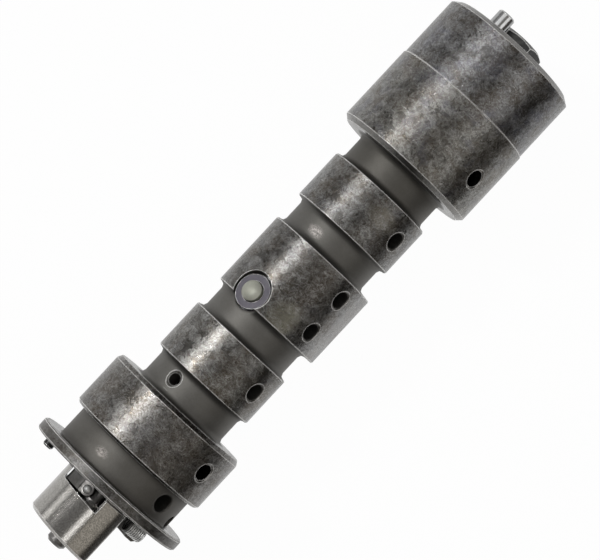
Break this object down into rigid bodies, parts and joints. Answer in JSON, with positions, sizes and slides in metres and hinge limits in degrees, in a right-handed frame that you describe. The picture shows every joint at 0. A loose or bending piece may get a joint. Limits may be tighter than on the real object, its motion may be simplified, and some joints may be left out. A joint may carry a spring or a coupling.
{
  "type": "camshaft with automatic decompressor",
  "caption": "Single-cylinder camshaft with flange, journals, cam lobes and a centrifugal decompressor: slotted hub, swinging weight, stem and domed plunger.",
  "frame": {"origin": "on the shaft's axis, at the centre of the flange's outer face", "axes": "+X along the shaft towards the end with the dowel and the hexagon plug; +Z away from the lobe noses, up when the shaft lies down"},
  "size_m": [0.1795, 0.0476, 0.0476],
  "materials": {
    "ground_steel": "ground, with a dark patina",
    "hard_steel": "ground",
    "bush_steel": "smooth, violet grey",
    "bright_steel": "polished",
    "dark_steel": "blackened",
    "spring_steel": "bright wire"
  },
  "bodies": {
    "camshaft": {"camshaft_body": "ground_steel", "retaining_pin": "dark_steel", "plunger_guide_bush": "bush_steel", "flyweight_pivot_pin": "dark_steel", "flyweight_spring": "spring_steel", "flange_pin": "dark_steel", "end_dowel": "bright_steel", "gallery_plug": "dark_steel"},
    "decompressor_stem": {"decompressor_shaft": "hard_steel", "drive_pin": "bright_steel"},
    "weight": {"flyweight": "hard_steel"},
    "plunger": {"decompressor_plunger": "hard_steel"}
  },
  "joints": [
    {"name": "weight_swing", "type": "hinge", "parent": "camshaft", "child": "weight", "pos_m": [-0.002, -0.006, -0.014], "axis": [1, 0, 0], "range_deg": [0, 7.1], "stiffness_Nm_per_rad": 0.13, "springref_deg": -2.29, "deforming": ["flyweight_spring"]},
    {"name": "stem_turn", "type": "hinge", "parent": "camshaft", "child": "decompressor_stem", "pos_m": [0, 0, 0], "axis": [1, 0, 0], "range_deg": [0, 18.2]},
    {"name": "plunger_slide", "type": "slide", "parent": "camshaft", "child": "plunger", "axis": [0, 0.4772, 0.8788], "range_m": [-0.00077, 0]}
  ],
  "couplings": [
    {"joint": "stem_turn", "follows": "weight_swing", "ratio": 2.5323},
    {"joint": "plunger_slide", "follows": "weight_swing", "m_per_rad": -0.006037}
  ]
}
